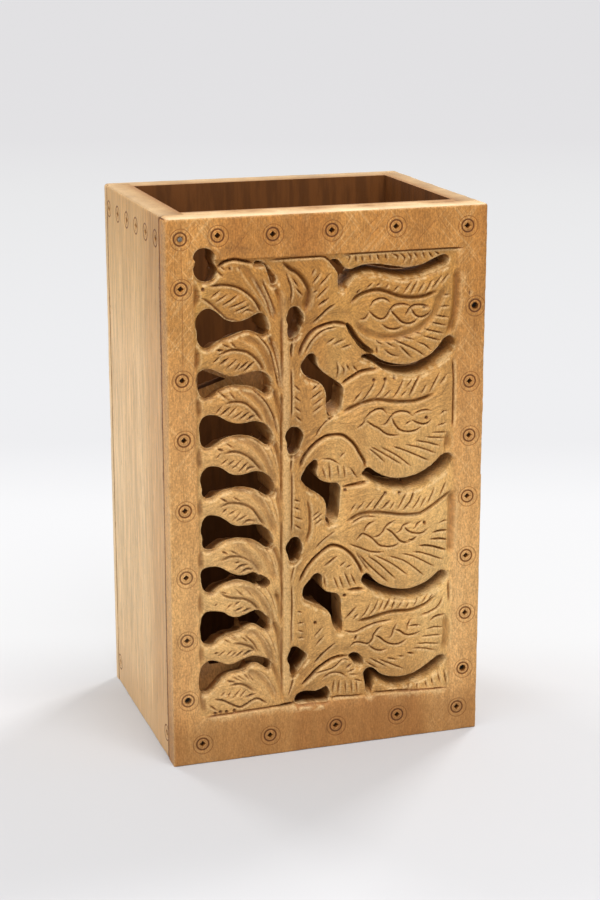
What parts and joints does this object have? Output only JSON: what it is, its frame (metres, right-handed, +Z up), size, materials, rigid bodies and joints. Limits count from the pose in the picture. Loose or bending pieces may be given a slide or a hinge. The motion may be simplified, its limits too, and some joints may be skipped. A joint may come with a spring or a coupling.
{
  "type": "pen stand",
  "caption": "Open-topped wooden pen stand, its front board pierced and carved with a leafy vine inside a border of ring marks.",
  "frame": {"origin": "middle of the underside, on the surface that the stand rests on", "axes": "+Z up to the open top, the carved front faces -Y, +X to the right as seen from the front"},
  "size_m": [0.075, 0.059, 0.127],
  "materials": {
    "carved_wood": "hand-carved pale hardwood, scraped, thin wax",
    "board_wood": "planed pale hardwood, fine vertical grain",
    "base_wood": "sawn pale hardwood",
    "pin_steel": "dull wire"
  },
  "bodies": {
    "root": {"front_panel": "carved_wood", "back_panel": "board_wood", "left_panel": "board_wood", "right_panel": "board_wood", "base_panel": "base_wood", "front_pins": "pin_steel", "back_pins": "pin_steel"}
  },
  "joints": []
}
